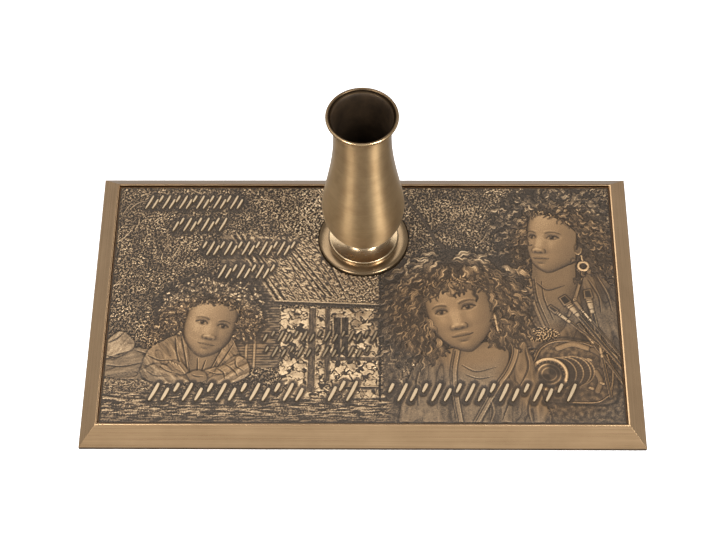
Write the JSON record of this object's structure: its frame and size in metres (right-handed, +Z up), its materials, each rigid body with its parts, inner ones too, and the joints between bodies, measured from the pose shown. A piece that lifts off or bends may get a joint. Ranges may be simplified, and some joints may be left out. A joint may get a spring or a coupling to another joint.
{
  "type": "flat grave marker",
  "caption": "Flat cast bronze grave marker with a bevelled border, a low picture relief and a flower vase that lifts out of its seat.",
  "frame": {"origin": "on the ground under the middle of the plate", "axes": "+X along the plate's width, to the reader's right; +Z up; -Y towards the reader"},
  "size_m": [0.6096, 0.3556, 0.246],
  "materials": {
    "cast_bronze": "sand cast, dark brown patina in the recesses, high points rubbed bright, border brushed lengthwise",
    "polished_bronze": "turned and polished",
    "satin_bronze": "spun, satin, dark inside"
  },
  "bodies": {
    "root": {"marker_plate": "cast_bronze", "vase_foot": "polished_bronze", "vase_body": "satin_bronze"}
  },
  "joints": []
}
